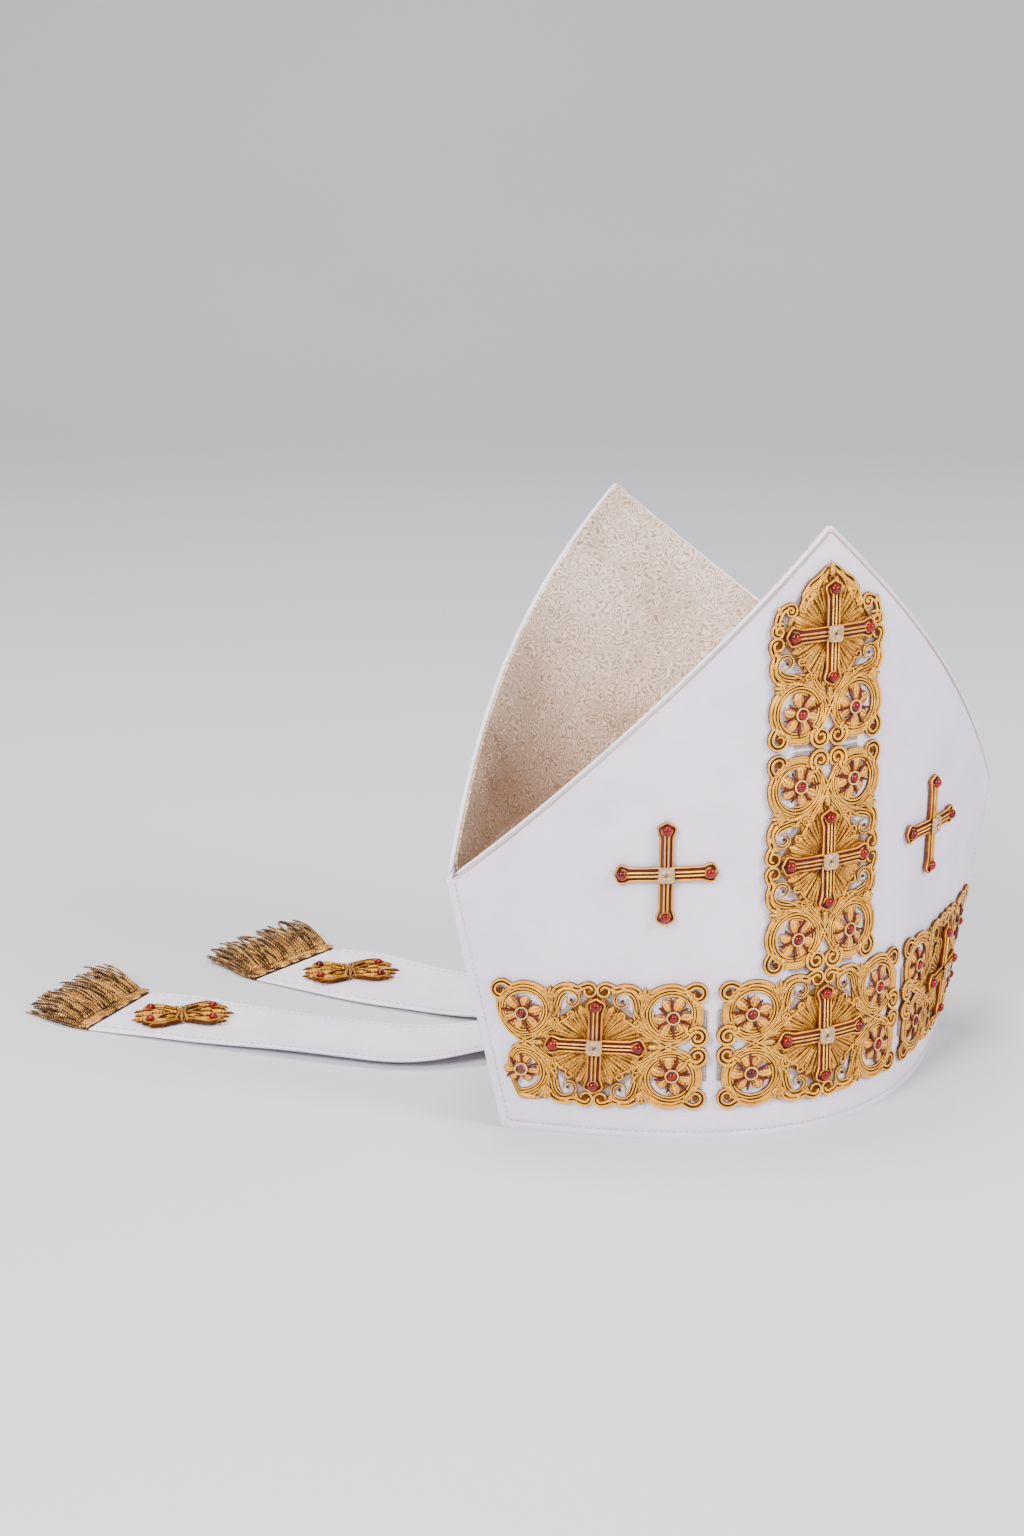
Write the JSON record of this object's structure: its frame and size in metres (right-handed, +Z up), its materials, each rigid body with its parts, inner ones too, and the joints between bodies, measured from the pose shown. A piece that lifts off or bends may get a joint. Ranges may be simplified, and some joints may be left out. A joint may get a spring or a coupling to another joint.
{
  "type": "bishop mitre",
  "caption": "Ceremonial white cloth mitre with two pointed horns, gold embroidered panels, bead-tipped crosses, a damask lining and two fringed tails laid out behind.",
  "frame": {"origin": "middle of the footprint, tails included, on the surface that the mitre stands on", "axes": "+Z up, the front of the mitre faces -Y, +X is to the right of someone looking at the front"},
  "size_m": [0.4158, 0.372, 0.2793],
  "materials": {
    "white_cloth": "cool white plain weave cloth with a faint sheen",
    "damask": "beige damask with a small wavy figure",
    "gold_embroidery": "gold metal thread embroidery, satin",
    "gold_bullion": "bright gold bullion cord with dark red edging",
    "ruby_bead": "polished deep red glass",
    "pale_metal": "pale gold plate, satin",
    "gold_fringe": "antique gold bullion fringe"
  },
  "bodies": {
    "root": {"front_panel": "white_cloth", "front_edge_binding": "white_cloth", "front_lining": "damask", "back_panel": "white_cloth", "back_edge_binding": "white_cloth", "back_lining": "damask", "gusset": "damask", "front_band_left_motif": "gold_embroidery", "front_band_left_cross": "gold_bullion", "front_band_left_setting": "pale_metal", "front_band_middle_motif": "gold_embroidery", "front_band_middle_cross": "gold_bullion", "front_band_middle_setting": "pale_metal", "front_band_right_motif": "gold_embroidery", "front_band_right_cross": "gold_bullion", "front_band_right_setting": "pale_metal", "front_column_motif": "gold_embroidery", "front_column_cross": "gold_bullion", "front_column_setting": "pale_metal", "front_top_motif": "gold_embroidery", "front_top_cross": "gold_bullion", "front_top_setting": "pale_metal", "front_small_left_cross": "gold_bullion", "front_small_left_setting": "pale_metal", "front_small_right_cross": "gold_bullion", "front_small_right_setting": "pale_metal", "back_band_left_motif": "gold_embroidery", "back_band_left_cross": "gold_bullion", "back_band_left_setting": "pale_metal", "back_band_middle_motif": "gold_embroidery", "back_band_middle_cross": "gold_bullion", "back_band_middle_setting": "pale_metal", "back_band_right_motif": "gold_embroidery", "back_band_right_cross": "gold_bullion", "back_band_right_setting": "pale_metal", "back_column_motif": "gold_embroidery", "back_column_cross": "gold_bullion", "back_column_setting": "pale_metal", "back_top_motif": "gold_embroidery", "back_top_cross": "gold_bullion", "back_top_setting": "pale_metal", "back_small_left_cross": "gold_bullion", "back_small_left_setting": "pale_metal", "back_small_right_cross": "gold_bullion", "back_small_right_setting": "pale_metal", "left_lappet": "white_cloth", "left_fringe_heading": "gold_fringe", "left_fringe": "gold_fringe", "left_lappet_ornament": "gold_bullion", "right_lappet": "white_cloth", "right_fringe_heading": "gold_fringe", "right_fringe": "gold_fringe", "right_lappet_ornament": "gold_bullion"}
  },
  "joints": []
}
